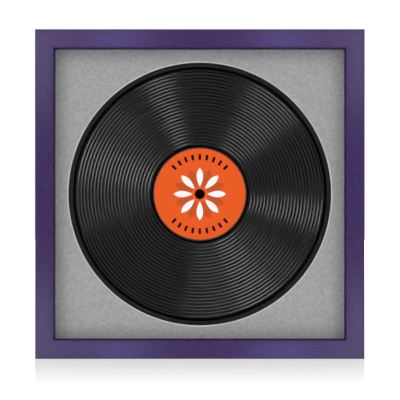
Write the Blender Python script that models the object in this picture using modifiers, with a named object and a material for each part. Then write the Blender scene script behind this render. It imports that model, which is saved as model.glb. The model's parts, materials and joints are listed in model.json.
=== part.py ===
"""Framed vinyl record: mitred rails, glazing, window mat, record, boards and hangers.

Blender 4.5 script. Metres, +Z up, +X to the right, and the front faces -Y.
The origin is on the underside of the bottom rail, at the middle of its length and depth.
Left and right are as seen from the front.
"""

import math

import bmesh
import bpy
from mathutils import Matrix, Vector

# Clearances
SEAT_GAP = 0.0003           # between faces that touch on the real frame
MITRE_GAP = 0.0003          # glue line between two rails, square to the mitre
SHEET_CLEARANCE = 0.0005    # between a sheet's edge and the rabbet's wall
RECORD_CLEARANCE = 0.0010   # between the record's edge and the spacer's cut-out
CUT_OVERRUN = 0.0010        # how far a cutter runs out of the face that it opens

# Record
RECORD_DIAMETER = 0.3016
RECORD_THICKNESS = 0.0020   # at the rim bead
RECORD_EDGE_CHAMFER = 0.0004
RIM_BEAD_WIDTH = 0.0056
LEAD_IN_WIDTH = 0.0026      # dark band inside the rim bead
RUN_OUT_WIDTH = 0.0028      # dark band round the label
DARK_BAND_RECESS = 0.0004   # depth of both dark bands below the rim bead
GROOVE_RECESS = 0.0002      # depth of the playing surface below the rim bead
LABEL_LIP_WIDTH = 0.0014    # raised ring round the label
SPINDLE_HOLE_DIAMETER = 0.00724
LABEL_DIAMETER = 0.1046
LABEL_THICKNESS = 0.0003

# Frame rails
MAT_BORDER = 0.0142         # mat that shows between the record's edge and each rail
RAIL_WIDTH = 0.0230
LIP_DEPTH = 0.0065          # front face to the rabbet's floor
LIP_OVERLAP = 0.00645       # how far the lip covers the glazing's edge
SIGHT_CHAMFER_WIDTH = 0.0020
SIGHT_CHAMFER_DEPTH = 0.0040
OUTER_EDGE_RADIUS = 0.0012

# Sheets in the rabbet, front to back
GLAZING_THICKNESS = 0.0020
MAT_THICKNESS = 0.0015
MAT_OVERLAP = 0.0008        # how far the mat's window covers the record's rim
FILLER_THICKNESS = 0.0030
BACKING_THICKNESS = 0.0030
BACKING_RECESS = 0.0005     # backing's face below the rails' back face

# V-nails in the mitres
V_NAIL_LEG = 0.0055
V_NAIL_THICKNESS = 0.0006
V_NAIL_HEIGHT = 0.0100
V_NAIL_SINK = 0.0005        # below the rails' back face
V_NAIL_HALF_ANGLE = math.radians(55)
V_NAIL_SHARES = {"outer": 0.32, "inner": 0.70}   # of the back face's width, from outside

# Pan-head screws
SCREW_HEAD_DIAMETER = 0.0060
SCREW_HEAD_HEIGHT = 0.0018
SCREW_SHANK_DIAMETER = 0.0030
SCREW_SHANK_LENGTH = 0.0110
SCREW_POINT_LENGTH = 0.0020
SCREW_CROSS_LENGTH = 0.0032
SCREW_CROSS_WIDTH = 0.0008
SCREW_CROSS_DEPTH = 0.0009

# Turn buttons
BUTTON_WIDTH = 0.0080
BUTTON_THICKNESS = 0.0012
BUTTON_GRIP = 0.0115        # how far the button's tip reaches over the backing
BUTTON_PLACE_SHARE = 0.30   # of the frame's size, from the middle of the rail

# D-ring hangers
STRAP_WIDTH = 0.0090
STRAP_THICKNESS = 0.0010
STRAP_END = 0.0048          # screw's centre to the strap's round end
STRAP_HEAD_GAP = 0.0025     # between the rolled eye and the screw's head
STRAP_CORNER_RADIUS = 0.0030
STRAP_MARGIN = 0.0018       # strap's round end to the frame's outside
CURL_ANGLE = math.radians(292)   # how far the eye is rolled round the ring
RING_WIRE_DIAMETER = 0.0024
RING_PLAY = 0.0023          # between the strap's side and the ring's arm
RING_HEAD_GAP = 0.0008      # between the screw's head and the folded ring
RING_CORNER_RADIUS = 0.0020
HANGER_HEIGHT_SHARE = 0.69  # of the frame's size, from the bottom

# Wall bumpers
BUMPER_DIAMETER = 0.0110
BUMPER_FACE_DIAMETER = 0.0080
BUMPER_HEIGHT = 0.0055
BUMPER_SHOULDER = 0.0015
BUMPER_PLACE_SHARE = 0.43   # of the frame's size, from the middle of the bottom rail

# Fineness
DISC_SEGMENTS = 80
SMALL_SEGMENTS = 20
ARC_SEGMENTS = 6
WIRE_RESOLUTION = 2
SMOOTH_ANGLE = math.radians(35)
WELD = 0.00001              # merge distance for a shape's own seams

# Worked out from the sizes above; the sight is the opening between the rails' front edges
SIGHT_SIZE = RECORD_DIAMETER + 2 * MAT_BORDER
FRAME_SIZE = SIGHT_SIZE + 2 * RAIL_WIDTH
FRAME_HALF = FRAME_SIZE / 2
BACK_WIDTH = RAIL_WIDTH - LIP_OVERLAP
SHEET_SIZE = SIGHT_SIZE + 2 * LIP_OVERLAP - 2 * SHEET_CLEARANCE
WINDOW_RADIUS = RECORD_DIAMETER / 2 - MAT_OVERLAP
CUT_OUT_RADIUS = RECORD_DIAMETER / 2 + RECORD_CLEARANCE

# Depths behind the frame's front face
GLAZING_FRONT = LIP_DEPTH + SEAT_GAP
MAT_FRONT = GLAZING_FRONT + GLAZING_THICKNESS + SEAT_GAP
RECORD_FRONT = MAT_FRONT + MAT_THICKNESS + SEAT_GAP
FILLER_FRONT = RECORD_FRONT + RECORD_THICKNESS + SEAT_GAP
BACKING_FRONT = FILLER_FRONT + FILLER_THICKNESS + SEAT_GAP
RAIL_DEPTH = BACKING_FRONT + BACKING_THICKNESS + BACKING_RECESS

# Hanger parts that fit each other
EYE_INNER_RADIUS = RING_WIRE_DIAMETER / 2 + SEAT_GAP
EYE_OUTER_RADIUS = EYE_INNER_RADIUS + STRAP_THICKNESS
STRAP_SCREW_DISTANCE = EYE_OUTER_RADIUS + STRAP_HEAD_GAP + SCREW_HEAD_DIAMETER / 2
STRAP_LENGTH = STRAP_SCREW_DISTANCE + STRAP_END
RING_HALF_WIDTH = STRAP_WIDTH / 2 + RING_PLAY + RING_WIRE_DIAMETER / 2
RING_REACH = (STRAP_SCREW_DISTANCE + SCREW_HEAD_DIAMETER / 2 + RING_HEAD_GAP
              + RING_WIRE_DIAMETER / 2)

# Each side of the frame is the bottom side turned about the frame's centre, and the two
# names are those of its ends, first the one at the bottom side's left
SIDES = {
    "bottom": (0, ("left", "right")),
    "left": (90, ("upper", "lower")),
    "top": (180, ("right", "left")),
    "right": (270, ("lower", "upper")),
}
CORNERS = {"bottom_left": 0, "top_left": 90, "top_right": 180, "bottom_right": 270}

FACING_FRONT = Matrix.Rotation(math.radians(90), 4, "X")
FACING_BACK = Matrix.Rotation(math.radians(-90), 4, "X")


def clear_scene():
    """Remove every object that the scene starts with."""
    for thing in list(bpy.data.objects):
        bpy.data.objects.remove(thing, do_unlink=True)


def new_collection(name):
    """A collection linked to the scene."""
    collection = bpy.data.collections.new(name)
    bpy.context.scene.collection.children.link(collection)
    return collection


def new_material(name, colour, roughness, metallic=0.0):
    """A Principled material from an RGB colour in linear light."""
    material = bpy.data.materials.new(name)
    material.use_nodes = True
    shader = material.node_tree.nodes["Principled BSDF"]
    shader.inputs["Base Color"].default_value = (*colour, 1.0)
    shader.inputs["Roughness"].default_value = roughness
    shader.inputs["Metallic"].default_value = metallic
    return material


def on_side(side, along, inward, depth):
    """Place on one side of the frame, with X along the rail, Y backward and Z inward.

    along runs from the middle of the rail, inward from the frame's outside and depth
    from its front face.
    """
    centre = Matrix.Translation((0, 0, FRAME_HALF))
    turn = Matrix.Rotation(math.radians(side), 4, "Y")
    return centre @ turn @ Matrix.Translation(
        (along, depth - RAIL_DEPTH / 2, inward - FRAME_HALF))


def at_centre(depth):
    """Place at the centre of the window, at a depth behind the front face."""
    return on_side(0, 0, FRAME_HALF, depth)


def evaluated_mesh(source, weld=False):
    """The mesh that an object shows, after which the object is removed."""
    bpy.context.view_layer.update()
    graph = bpy.context.evaluated_depsgraph_get()
    mesh = bpy.data.meshes.new_from_object(source.evaluated_get(graph))
    if weld:
        bm = bmesh.new()
        bm.from_mesh(mesh)
        bmesh.ops.remove_doubles(bm, verts=bm.verts, dist=WELD)
        bm.to_mesh(mesh)
        bm.free()
    bpy.data.objects.remove(source, do_unlink=True)
    return mesh


def loose_object(name, data):
    """An object in the scene's own collection, for shaping before it is placed."""
    thing = bpy.data.objects.new(name, data)
    bpy.context.scene.collection.objects.link(thing)
    return thing


def add_node(name, mesh, material, place, collection):
    """A finished sub-part: its mesh, its material and its place."""
    mesh.materials.clear()
    mesh.materials.append(material)
    thing = bpy.data.objects.new(name, mesh)
    thing.matrix_world = place
    collection.objects.link(thing)
    return thing


def add_cutter(name, mesh, collection):
    """A solid that only cuts others."""
    thing = bpy.data.objects.new(name, mesh)
    thing.hide_render = True
    thing.display_type = "WIRE"
    collection.objects.link(thing)
    return thing


def cut(thing, cutter):
    """Take the cutter's shape out of an object."""
    boolean = thing.modifiers.new(cutter.name, "BOOLEAN")
    boolean.operation = "DIFFERENCE"
    boolean.solver = "EXACT"
    boolean.object = cutter


def smooth(mesh):
    """Shade a round piece smooth, apart from its sharp edges."""
    mesh.shade_smooth()
    mesh.set_sharp_from_angle(angle=SMOOTH_ANGLE)
    return mesh


def plate_mesh(name, outlines, thickness):
    """A flat plate from closed outlines in XY: the first is its edge, the rest are holes."""
    curve = bpy.data.curves.new(name, "CURVE")
    curve.dimensions = "2D"
    curve.fill_mode = "BOTH"
    curve.extrude = thickness / 2
    for outline in outlines:
        spline = curve.splines.new("POLY")
        spline.points.add(len(outline) - 1)
        for point, (x, y) in zip(spline.points, outline):
            point.co = (x, y, 0, 1)
        spline.use_cyclic_u = True
    return evaluated_mesh(loose_object(name, curve), weld=True)


def turned_mesh(name, outline, segments, ring):
    """A turned shape about Z from points of radius and height, top to bottom outside.

    A ring's outline closes on itself, and any other starts and ends on the axis.
    """
    mesh = bpy.data.meshes.new(name)
    bm = bmesh.new()
    points = [bm.verts.new((radius, 0, height)) for radius, height in outline]
    for first, second in zip(points, points[1:]):
        bm.edges.new((first, second))
    if ring:
        bm.edges.new((points[-1], points[0]))
    bm.to_mesh(mesh)
    bm.free()
    blank = loose_object(name, mesh)
    screw = blank.modifiers.new("turn", "SCREW")
    screw.steps = segments
    screw.render_steps = segments
    screw.use_merge_vertices = True
    screw.merge_threshold = WELD
    return smooth(evaluated_mesh(blank))


def box_mesh(name, width, depth, height):
    """A box about its own middle."""
    mesh = bpy.data.meshes.new(name)
    bm = bmesh.new()
    bmesh.ops.create_cube(bm, size=1)
    bmesh.ops.scale(bm, vec=(width, depth, height), verts=bm.verts)
    bm.to_mesh(mesh)
    bm.free()
    return mesh


def joined_mesh(name, placed):
    """One mesh from (mesh, place) pairs that lie apart."""
    whole = bmesh.new()
    for mesh, place in placed:
        first_new = len(whole.verts)
        whole.from_mesh(mesh)
        whole.verts.ensure_lookup_table()
        bmesh.ops.transform(whole, matrix=place, verts=whole.verts[first_new:])
    mesh = bpy.data.meshes.new(name)
    whole.to_mesh(mesh)
    whole.free()
    return mesh


def arc(centre, radius, start, turn, segments=ARC_SEGMENTS):
    """Points on an arc, both ends included; start and turn are in radians."""
    angles = [start + turn * step / segments for step in range(segments + 1)]
    return [(centre[0] + radius * math.cos(a), centre[1] + radius * math.sin(a))
            for a in angles]


def circle(radius, segments, centre=(0, 0)):
    """A closed round outline."""
    return arc(centre, radius, 0, math.tau, segments)[:-1]


def square(size):
    """A closed square outline about the origin."""
    half = size / 2
    return [(-half, -half), (half, -half), (half, half), (-half, half)]


def rail_mesh(name):
    """The bottom rail about the frame's centre, with both ends mitred.

    The moulding's outline has its depth as X and its width, from the outside in, as Y.
    """
    corner = (OUTER_EDGE_RADIUS, OUTER_EDGE_RADIUS)
    outline = arc(corner, OUTER_EDGE_RADIUS, math.radians(180), math.radians(90))
    outline += [
        (RAIL_DEPTH, 0),
        (RAIL_DEPTH, BACK_WIDTH),
        (LIP_DEPTH, BACK_WIDTH),
        (LIP_DEPTH, RAIL_WIDTH),
        (SIGHT_CHAMFER_DEPTH, RAIL_WIDTH),
        (0, RAIL_WIDTH - SIGHT_CHAMFER_WIDTH),
    ]
    mesh = plate_mesh(name, [outline], FRAME_SIZE)
    mitre_set_back = MITRE_GAP / 2 * math.sqrt(2)
    for vertex in mesh.vertices:
        depth, width, along = vertex.co
        end = FRAME_HALF - width - mitre_set_back
        vertex.co = (math.copysign(end, along), depth - RAIL_DEPTH / 2, width - FRAME_HALF)
    return mesh


def v_nail_mesh(name, clearance, height):
    """A V-nail about its apex, its legs opening along +X; clearance widens it all round."""
    thickness = V_NAIL_THICKNESS + 2 * clearance
    leg = V_NAIL_LEG + clearance
    along, across = math.cos(V_NAIL_HALF_ANGLE), math.sin(V_NAIL_HALF_ANGLE)
    apex = thickness / 2 / across
    outer = Vector((-across, along)) * thickness / 2
    tip = Vector((along, across)) * leg
    upper = [tip + outer, tip - outer]
    lower = [Vector((point.x, -point.y)) for point in reversed(upper)]
    outline = [Vector((-apex, 0)), lower[1], lower[0], Vector((apex, 0)), upper[1], upper[0]]
    return plate_mesh(name, [[(point.x, point.y) for point in outline]], height)


def v_nail_places(depth):
    """Name and place of each V-nail's middle, at a depth behind the front face."""
    into_corner = Matrix.Rotation(math.radians(-45), 4, "Y") @ FACING_FRONT
    places = {}
    for corner, side in CORNERS.items():
        for position, share in V_NAIL_SHARES.items():
            inward = BACK_WIDTH * share
            place = on_side(side, inward - FRAME_HALF, inward, depth) @ into_corner
            places[f"v_nail_{corner}_{position}"] = place
    return places


def screw_mesh(name):
    """A pan-head screw along Z, the underside of its head at the origin."""
    head = SCREW_HEAD_DIAMETER / 2
    shank = SCREW_SHANK_DIAMETER / 2
    crown = SCREW_HEAD_HEIGHT / 2
    outline = [(0, SCREW_HEAD_HEIGHT), (head - crown, SCREW_HEAD_HEIGHT)]
    outline += arc((head - crown, crown), crown, math.radians(60), math.radians(-60), 2)
    outline += [
        (head, 0),
        (shank, 0),
        (shank, SCREW_POINT_LENGTH - SCREW_SHANK_LENGTH),
        (0, -SCREW_SHANK_LENGTH),
    ]
    blank = loose_object(name, turned_mesh(name, outline, SMALL_SEGMENTS, ring=False))
    half_length, half_width = SCREW_CROSS_LENGTH / 2, SCREW_CROSS_WIDTH / 2
    quarter = [(half_length, -half_width), (half_length, half_width), (half_width, half_width)]
    cross = []
    for turn in range(4):
        rotation = Matrix.Rotation(math.radians(90) * turn, 2)
        cross += [tuple(rotation @ Vector(point)) for point in quarter]
    cutter_height = 2 * SCREW_CROSS_DEPTH
    cutter = loose_object("cross_recess", plate_mesh("cross_recess", [cross], cutter_height))
    cutter.location.z = SCREW_HEAD_HEIGHT
    cut(blank, cutter)
    mesh = evaluated_mesh(blank)
    bpy.data.objects.remove(cutter, do_unlink=True)
    return smooth(mesh)


def record_mesh(name):
    """The record: label seat, lip, run-out band, playing surface, lead-in band and bead."""
    top = RECORD_THICKNESS / 2
    radius = RECORD_DIAMETER / 2
    seat = top - LABEL_THICKNESS - SEAT_GAP
    dark = top - DARK_BAND_RECESS
    lip_inside = LABEL_DIAMETER / 2 + SEAT_GAP
    lip_outside = lip_inside + LABEL_LIP_WIDTH
    playing_start = lip_outside + RUN_OUT_WIDTH
    bead_start = radius - RIM_BEAD_WIDTH
    playing_end = bead_start - LEAD_IN_WIDTH
    front = [
        (SPINDLE_HOLE_DIAMETER / 2, seat),
        (lip_inside, seat),
        (lip_inside, top),
        (lip_outside, top),
        (lip_outside, dark),
        (playing_start, dark),
        (playing_start, top - GROOVE_RECESS),
        (playing_end, top - GROOVE_RECESS),
        (playing_end, dark),
        (bead_start, dark),
        (bead_start, top),
        (radius - RECORD_EDGE_CHAMFER, top),
        (radius, top - RECORD_EDGE_CHAMFER),
    ]
    back = [(r, -height) for r, height in reversed(front)]
    return turned_mesh(name, front + back, DISC_SEGMENTS, ring=True)


def mat_mesh(name):
    """The window mat: the cut through it leans outward to the front at 45 degrees."""
    window = circle(WINDOW_RADIUS, DISC_SEGMENTS)
    mesh = plate_mesh(name, [square(SHEET_SIZE), window], MAT_THICKNESS)
    front_radius = WINDOW_RADIUS + MAT_THICKNESS
    limit = (WINDOW_RADIUS + SHEET_SIZE / 2) / 2
    for vertex in mesh.vertices:
        if vertex.co.z > 0 and vertex.co.xy.length < limit:
            vertex.co.xy *= front_radius / vertex.co.xy.length
    return mesh


def button_mesh(name):
    """A turn button with round ends, its pivot at the origin and its tip along +Y."""
    half_width = BUTTON_WIDTH / 2
    tip = BACK_WIDTH / 2 + SHEET_CLEARANCE + BUTTON_GRIP
    half_turn = math.radians(180)
    outline = arc((0, 0), half_width, half_turn, half_turn)
    outline += arc((0, tip - half_width), half_width, 0, half_turn)
    hole = circle(SCREW_SHANK_DIAMETER / 2 + SEAT_GAP, SMALL_SEGMENTS)
    return plate_mesh(name, [outline, hole], BUTTON_THICKNESS)


def strap_mesh(name):
    """A hanger strap: a flat strip rolled into an eye about the origin.

    The outline has the strip's run, from its round end to the eye, as X and its height
    off the rail as Y; the strip's underside is level with the eye's lowest point.
    """
    start = math.radians(-90)
    rolled = 2 * ARC_SEGMENTS
    outline = [(-STRAP_LENGTH, -EYE_OUTER_RADIUS)]
    outline += arc((0, 0), EYE_OUTER_RADIUS, start, CURL_ANGLE, rolled)
    outline += reversed(arc((0, 0), EYE_INNER_RADIUS, start, CURL_ANGLE, rolled))
    outline += [(-STRAP_LENGTH, -EYE_INNER_RADIUS)]
    mesh = plate_mesh(name, [outline], STRAP_WIDTH)
    bm = bmesh.new()
    bm.from_mesh(mesh)
    at_end = [v for v in bm.verts if abs(v.co.x + STRAP_LENGTH) < WELD]
    corners = [e for e in bm.edges if e.verts[0] in at_end and e.verts[1] in at_end
               and abs(e.verts[0].co.z - e.verts[1].co.z) < WELD]
    bmesh.ops.bevel(bm, geom=corners, offset=STRAP_CORNER_RADIUS, segments=ARC_SEGMENTS,
                    profile=0.5, affect="EDGES")
    bm.to_mesh(mesh)
    bm.free()
    blank = loose_object(name, mesh)
    hole = plate_mesh("strap_hole", [circle(SCREW_SHANK_DIAMETER / 2 + SEAT_GAP,
                                            SMALL_SEGMENTS)],
                      STRAP_THICKNESS + 2 * CUT_OVERRUN)
    cutter = loose_object("strap_hole", hole)
    height = -(EYE_OUTER_RADIUS + EYE_INNER_RADIUS) / 2
    cutter.matrix_world = Matrix.Translation((-STRAP_SCREW_DISTANCE, height, 0)) @ FACING_BACK
    cut(blank, cutter)
    shaped = evaluated_mesh(blank)
    bpy.data.objects.remove(cutter, do_unlink=True)
    return shaped


def ring_mesh(name):
    """A D-shaped wire ring: its straight bar on the Y axis, its bow towards +X."""
    corner, half = RING_CORNER_RADIUS, RING_HALF_WIDTH
    quarter, half_turn = math.radians(90), math.radians(180)
    path = arc((corner, half - corner), corner, half_turn, -quarter, ARC_SEGMENTS // 2)
    path += arc((RING_REACH - half, 0), half, quarter, -half_turn, 2 * ARC_SEGMENTS)
    path += arc((corner, corner - half), corner, -quarter, -quarter, ARC_SEGMENTS // 2)
    curve = bpy.data.curves.new(name, "CURVE")
    curve.dimensions = "3D"
    curve.bevel_depth = RING_WIRE_DIAMETER / 2
    curve.bevel_resolution = WIRE_RESOLUTION
    spline = curve.splines.new("POLY")
    spline.points.add(len(path) - 1)
    for point, (x, y) in zip(spline.points, path):
        point.co = (x, y, 0, 1)
    spline.use_cyclic_u = True
    return smooth(evaluated_mesh(loose_object(name, curve), weld=True))


def bumper_mesh(name):
    """A rubber bumper along Z, its glued face at the origin."""
    base, face = BUMPER_DIAMETER / 2, BUMPER_FACE_DIAMETER / 2
    outline = [
        (0, BUMPER_HEIGHT),
        (face, BUMPER_HEIGHT),
        (base, BUMPER_HEIGHT - BUMPER_SHOULDER),
        (base, 0),
        (0, 0),
    ]
    return turned_mesh(name, outline, SMALL_SEGMENTS, ring=False)


def button_spots():
    """Name, side and distance along the rail of each turn button."""
    along = FRAME_SIZE * BUTTON_PLACE_SHARE
    spots = []
    for side_name, (side, ends) in SIDES.items():
        for end, sign in zip(ends, (-1, 1)):
            spots.append((f"{side_name}_{end}", side, sign * along))
    return spots


def hanger_spots():
    """Name, side and distance along the rail of each hanger."""
    above_middle = FRAME_SIZE * HANGER_HEIGHT_SHARE - FRAME_HALF
    return [("left", SIDES["left"][0], -above_middle),
            ("right", SIDES["right"][0], above_middle)]


def pilot_hole(side, along, inward, plate_thickness):
    """Place and mesh of the hole under a screw that holds a plate of this thickness."""
    in_rail = SCREW_SHANK_LENGTH - 2 * SEAT_GAP - plate_thickness
    length = in_rail + SEAT_GAP + CUT_OVERRUN
    radius = SCREW_SHANK_DIAMETER / 2 + SEAT_GAP
    mesh = plate_mesh("pilot_hole", [circle(radius, SMALL_SEGMENTS)], length)
    depth = RAIL_DEPTH + CUT_OVERRUN - length / 2
    return mesh, on_side(side, along, inward, depth) @ FACING_BACK


def add_rails(parts, cutters, lacquer):
    """Four mitred rails, slotted for the V-nails and drilled for the screws."""
    slot_height = V_NAIL_HEIGHT + V_NAIL_SINK + SEAT_GAP + CUT_OVERRUN
    slot = v_nail_mesh("v_nail_slot", SEAT_GAP, slot_height)
    slot_depth = RAIL_DEPTH + CUT_OVERRUN - slot_height / 2
    slots = [(slot, place) for place in v_nail_places(slot_depth).values()]
    slot_cutter = add_cutter("cutter_v_nail_slots", joined_mesh("slots", slots), cutters)
    holes = [pilot_hole(side, along, BACK_WIDTH / 2, BUTTON_THICKNESS)
             for _, side, along in button_spots()]
    holes += [pilot_hole(side, along, STRAP_MARGIN + STRAP_END, STRAP_THICKNESS)
              for _, side, along in hanger_spots()]
    hole_cutter = add_cutter("cutter_pilot_holes", joined_mesh("holes", holes), cutters)
    for side_name, (side, _) in SIDES.items():
        name = f"rail_{side_name}"
        place = on_side(side, 0, FRAME_HALF, RAIL_DEPTH / 2)
        rail = add_node(name, rail_mesh(name), lacquer, place, parts)
        cut(rail, slot_cutter)
        cut(rail, hole_cutter)


def add_v_nails(parts, steel):
    """Two V-nails in each mitre."""
    mesh = v_nail_mesh("v_nail", 0, V_NAIL_HEIGHT)
    depth = RAIL_DEPTH - V_NAIL_SINK - V_NAIL_HEIGHT / 2
    for name, place in v_nail_places(depth).items():
        add_node(name, mesh, steel, place, parts)


def add_sheet(name, parts, material, front, thickness):
    """A square sheet that fills the rabbet."""
    mesh = box_mesh(name, SHEET_SIZE, SHEET_SIZE, thickness)
    add_node(name, mesh, material, at_centre(front + thickness / 2) @ FACING_FRONT, parts)


def add_mat(parts, material):
    """The window mat."""
    place = at_centre(MAT_FRONT + MAT_THICKNESS / 2) @ FACING_FRONT
    add_node("window_mat", mat_mesh("window_mat"), material, place, parts)


def add_spacer(parts, material):
    """The board whose round cut-out holds the record, as thick as the record."""
    outlines = [square(SHEET_SIZE), circle(CUT_OUT_RADIUS, DISC_SEGMENTS)]
    mesh = plate_mesh("spacer_board", outlines, RECORD_THICKNESS)
    place = at_centre(RECORD_FRONT + RECORD_THICKNESS / 2) @ FACING_FRONT
    add_node("spacer_board", mesh, material, place, parts)


def add_record(parts, vinyl, front_paper, back_paper):
    """The record and the label on each of its faces."""
    middle = RECORD_FRONT + RECORD_THICKNESS / 2
    add_node("record", record_mesh("record"), vinyl, at_centre(middle) @ FACING_FRONT, parts)
    outlines = [circle(LABEL_DIAMETER / 2, DISC_SEGMENTS),
                circle(SPINDLE_HOLE_DIAMETER / 2, SMALL_SEGMENTS)]
    off_middle = RECORD_THICKNESS / 2 - LABEL_THICKNESS / 2
    for name, paper, depth in (("label_front", front_paper, middle - off_middle),
                               ("label_back", back_paper, middle + off_middle)):
        mesh = plate_mesh(name, outlines, LABEL_THICKNESS)
        add_node(name, mesh, paper, at_centre(depth) @ FACING_FRONT, parts)


def add_turn_buttons(parts, button_steel, screw_steel, screw):
    """Eight turn buttons, each on its own screw."""
    mesh = button_mesh("turn_button")
    button_depth = RAIL_DEPTH + SEAT_GAP + BUTTON_THICKNESS / 2
    head_depth = RAIL_DEPTH + SEAT_GAP + BUTTON_THICKNESS + SEAT_GAP
    for name, side, along in button_spots():
        pivot = on_side(side, along, BACK_WIDTH / 2, button_depth) @ FACING_FRONT
        add_node(f"turn_button_{name}", mesh, button_steel, pivot, parts)
        head = on_side(side, along, BACK_WIDTH / 2, head_depth) @ FACING_BACK
        add_node(f"button_screw_{name}", screw, screw_steel, head, parts)


def add_hangers(parts, steel, screw_steel, screw):
    """Two hanger straps with their D-rings and screws."""
    strap = strap_mesh("hanger_strap")
    ring = ring_mesh("hanger_ring")
    strip_inward = Matrix.Rotation(math.radians(-90), 4, "Y")
    ring_inward = Matrix(((0, 1, 0), (0, 0, 1), (1, 0, 0))).to_4x4()
    eye_inward = STRAP_MARGIN + STRAP_LENGTH
    eye_depth = RAIL_DEPTH + SEAT_GAP + EYE_OUTER_RADIUS
    head_depth = RAIL_DEPTH + SEAT_GAP + STRAP_THICKNESS + SEAT_GAP
    for name, side, along in hanger_spots():
        eye = on_side(side, along, eye_inward, eye_depth)
        add_node(f"hanger_strap_{name}", strap, steel, eye @ strip_inward, parts)
        add_node(f"hanger_ring_{name}", ring, steel, eye @ ring_inward, parts)
        head = on_side(side, along, STRAP_MARGIN + STRAP_END, head_depth) @ FACING_BACK
        add_node(f"hanger_screw_{name}", screw, screw_steel, head, parts)


def add_bumpers(parts, rubber):
    """Two bumpers that keep the bottom rail off a wall."""
    mesh = bumper_mesh("wall_bumper")
    along = FRAME_SIZE * BUMPER_PLACE_SHARE
    for name, sign in (("left", -1), ("right", 1)):
        place = on_side(0, sign * along, BACK_WIDTH / 2, RAIL_DEPTH + SEAT_GAP) @ FACING_BACK
        add_node(f"wall_bumper_{name}", mesh, rubber, place, parts)


def main():
    """Build the framed record."""
    clear_scene()
    parts = new_collection("vinyl_record_frame")
    cutters = new_collection("cutters")
    lacquer = new_material("purple satin lacquer on wood", (0.058, 0.034, 0.130), 0.45)
    clear = new_material("clear acrylic sheet", (0.95, 0.97, 0.97), 0.05)
    grey_board = new_material("grey mat board", (0.33, 0.33, 0.33), 0.95)
    vinyl = new_material("black vinyl", (0.012, 0.012, 0.012), 0.30)
    orange_paper = new_material("orange label paper", (0.83, 0.11, 0.02), 0.60)
    black_paper = new_material("black label paper", (0.02, 0.02, 0.02), 0.60)
    foam_board = new_material("black foam board", (0.02, 0.02, 0.02), 0.90)
    hardboard = new_material("brown hardboard", (0.20, 0.11, 0.05), 0.75)
    zinc_steel = new_material("zinc-plated steel", (0.62, 0.62, 0.60), 0.35, 1.0)
    nail_steel = new_material("bare spring steel", (0.45, 0.45, 0.45), 0.40, 1.0)
    rubber = new_material("clear-grey rubber", (0.25, 0.25, 0.25), 0.55)

    add_rails(parts, cutters, lacquer)
    add_v_nails(parts, nail_steel)
    add_sheet("glazing", parts, clear, GLAZING_FRONT, GLAZING_THICKNESS)
    add_mat(parts, grey_board)
    add_record(parts, vinyl, orange_paper, black_paper)
    add_spacer(parts, foam_board)
    add_sheet("filler_board", parts, foam_board, FILLER_FRONT, FILLER_THICKNESS)
    add_sheet("backing_board", parts, hardboard, BACKING_FRONT, BACKING_THICKNESS)
    screw = screw_mesh("pan_head_screw")
    add_turn_buttons(parts, zinc_steel, zinc_steel, screw)
    add_hangers(parts, zinc_steel, zinc_steel, screw)
    add_bumpers(parts, rubber)


main()
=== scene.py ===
"""Finishes, fine shapes, studio and camera of a framed vinyl record.

Metres, +Z up, and the front faces -Y. Left and right are as seen from the front.
"""

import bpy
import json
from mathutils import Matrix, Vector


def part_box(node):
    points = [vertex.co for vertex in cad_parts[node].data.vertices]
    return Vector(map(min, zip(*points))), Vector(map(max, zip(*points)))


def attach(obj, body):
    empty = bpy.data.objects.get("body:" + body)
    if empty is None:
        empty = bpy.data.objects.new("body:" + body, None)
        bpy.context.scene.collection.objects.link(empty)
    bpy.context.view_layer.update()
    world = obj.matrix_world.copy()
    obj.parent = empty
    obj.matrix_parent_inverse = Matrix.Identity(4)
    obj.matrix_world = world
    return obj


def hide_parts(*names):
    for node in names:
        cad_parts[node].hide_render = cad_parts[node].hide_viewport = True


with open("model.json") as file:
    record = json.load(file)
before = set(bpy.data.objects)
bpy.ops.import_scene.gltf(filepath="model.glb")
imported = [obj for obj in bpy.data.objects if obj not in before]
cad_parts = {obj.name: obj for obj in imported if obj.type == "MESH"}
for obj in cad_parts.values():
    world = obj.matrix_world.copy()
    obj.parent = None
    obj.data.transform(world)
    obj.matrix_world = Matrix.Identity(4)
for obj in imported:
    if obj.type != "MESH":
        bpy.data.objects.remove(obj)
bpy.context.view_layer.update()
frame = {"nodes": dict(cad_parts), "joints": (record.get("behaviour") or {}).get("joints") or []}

import json
from math import atan, copysign, cos, pi, radians, sin, sqrt, tan, tau

import bmesh
import bpy
from bpy.props import FloatProperty, FloatVectorProperty, IntProperty, PointerProperty
from mathutils import Matrix, Vector

bl_info = {
    "name": "Framed Vinyl Record",
    "version": (1, 0, 0),
    "blender": (4, 5, 0),
    "location": "View3D > Sidebar > Record Frame",
    "description": "Fine shapes, finishes and studio of a vinyl record in a square frame",
    "category": "Object",
}

# Nodes that go together
SIDES = ("bottom", "left", "top", "right")
BUTTONS = ("bottom_left", "bottom_right", "left_upper", "left_lower",
           "top_right", "top_left", "right_lower", "right_upper")
HANGERS = ("left", "right")

# Places read from the frame: front faces are the lowest Y of a box, back faces the highest
MAT_LOW, MAT_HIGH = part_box("window_mat")
RECORD_LOW, RECORD_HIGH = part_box("record")
RAIL_LOW, RAIL_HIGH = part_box("rail_bottom")
GLAZING_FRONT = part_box("glazing")[0].y
LABEL_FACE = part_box("label_front")[0].y
CENTRE = Vector((0, 0, (MAT_LOW.z + MAT_HIGH.z) / 2))
RECORD_RADIUS = RECORD_HIGH.x
FRAME_HALF = RAIL_HIGH.x
SIGHT_HALF = CENTRE.z - RAIL_HIGH.z
FRONT = RAIL_LOW.y
PIVOTS = {joint["child"]: Vector(joint["pos_m"]) for joint in frame["joints"]}

# Fits of the small parts
CLEARANCE = 0.0003          # round a screw, a wire or a label
LABEL_SEAT = 0.0006         # from the record's rim down to the label's seat
BEAD_HEIGHT = 0.0004        # of the record's raised rim

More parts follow.
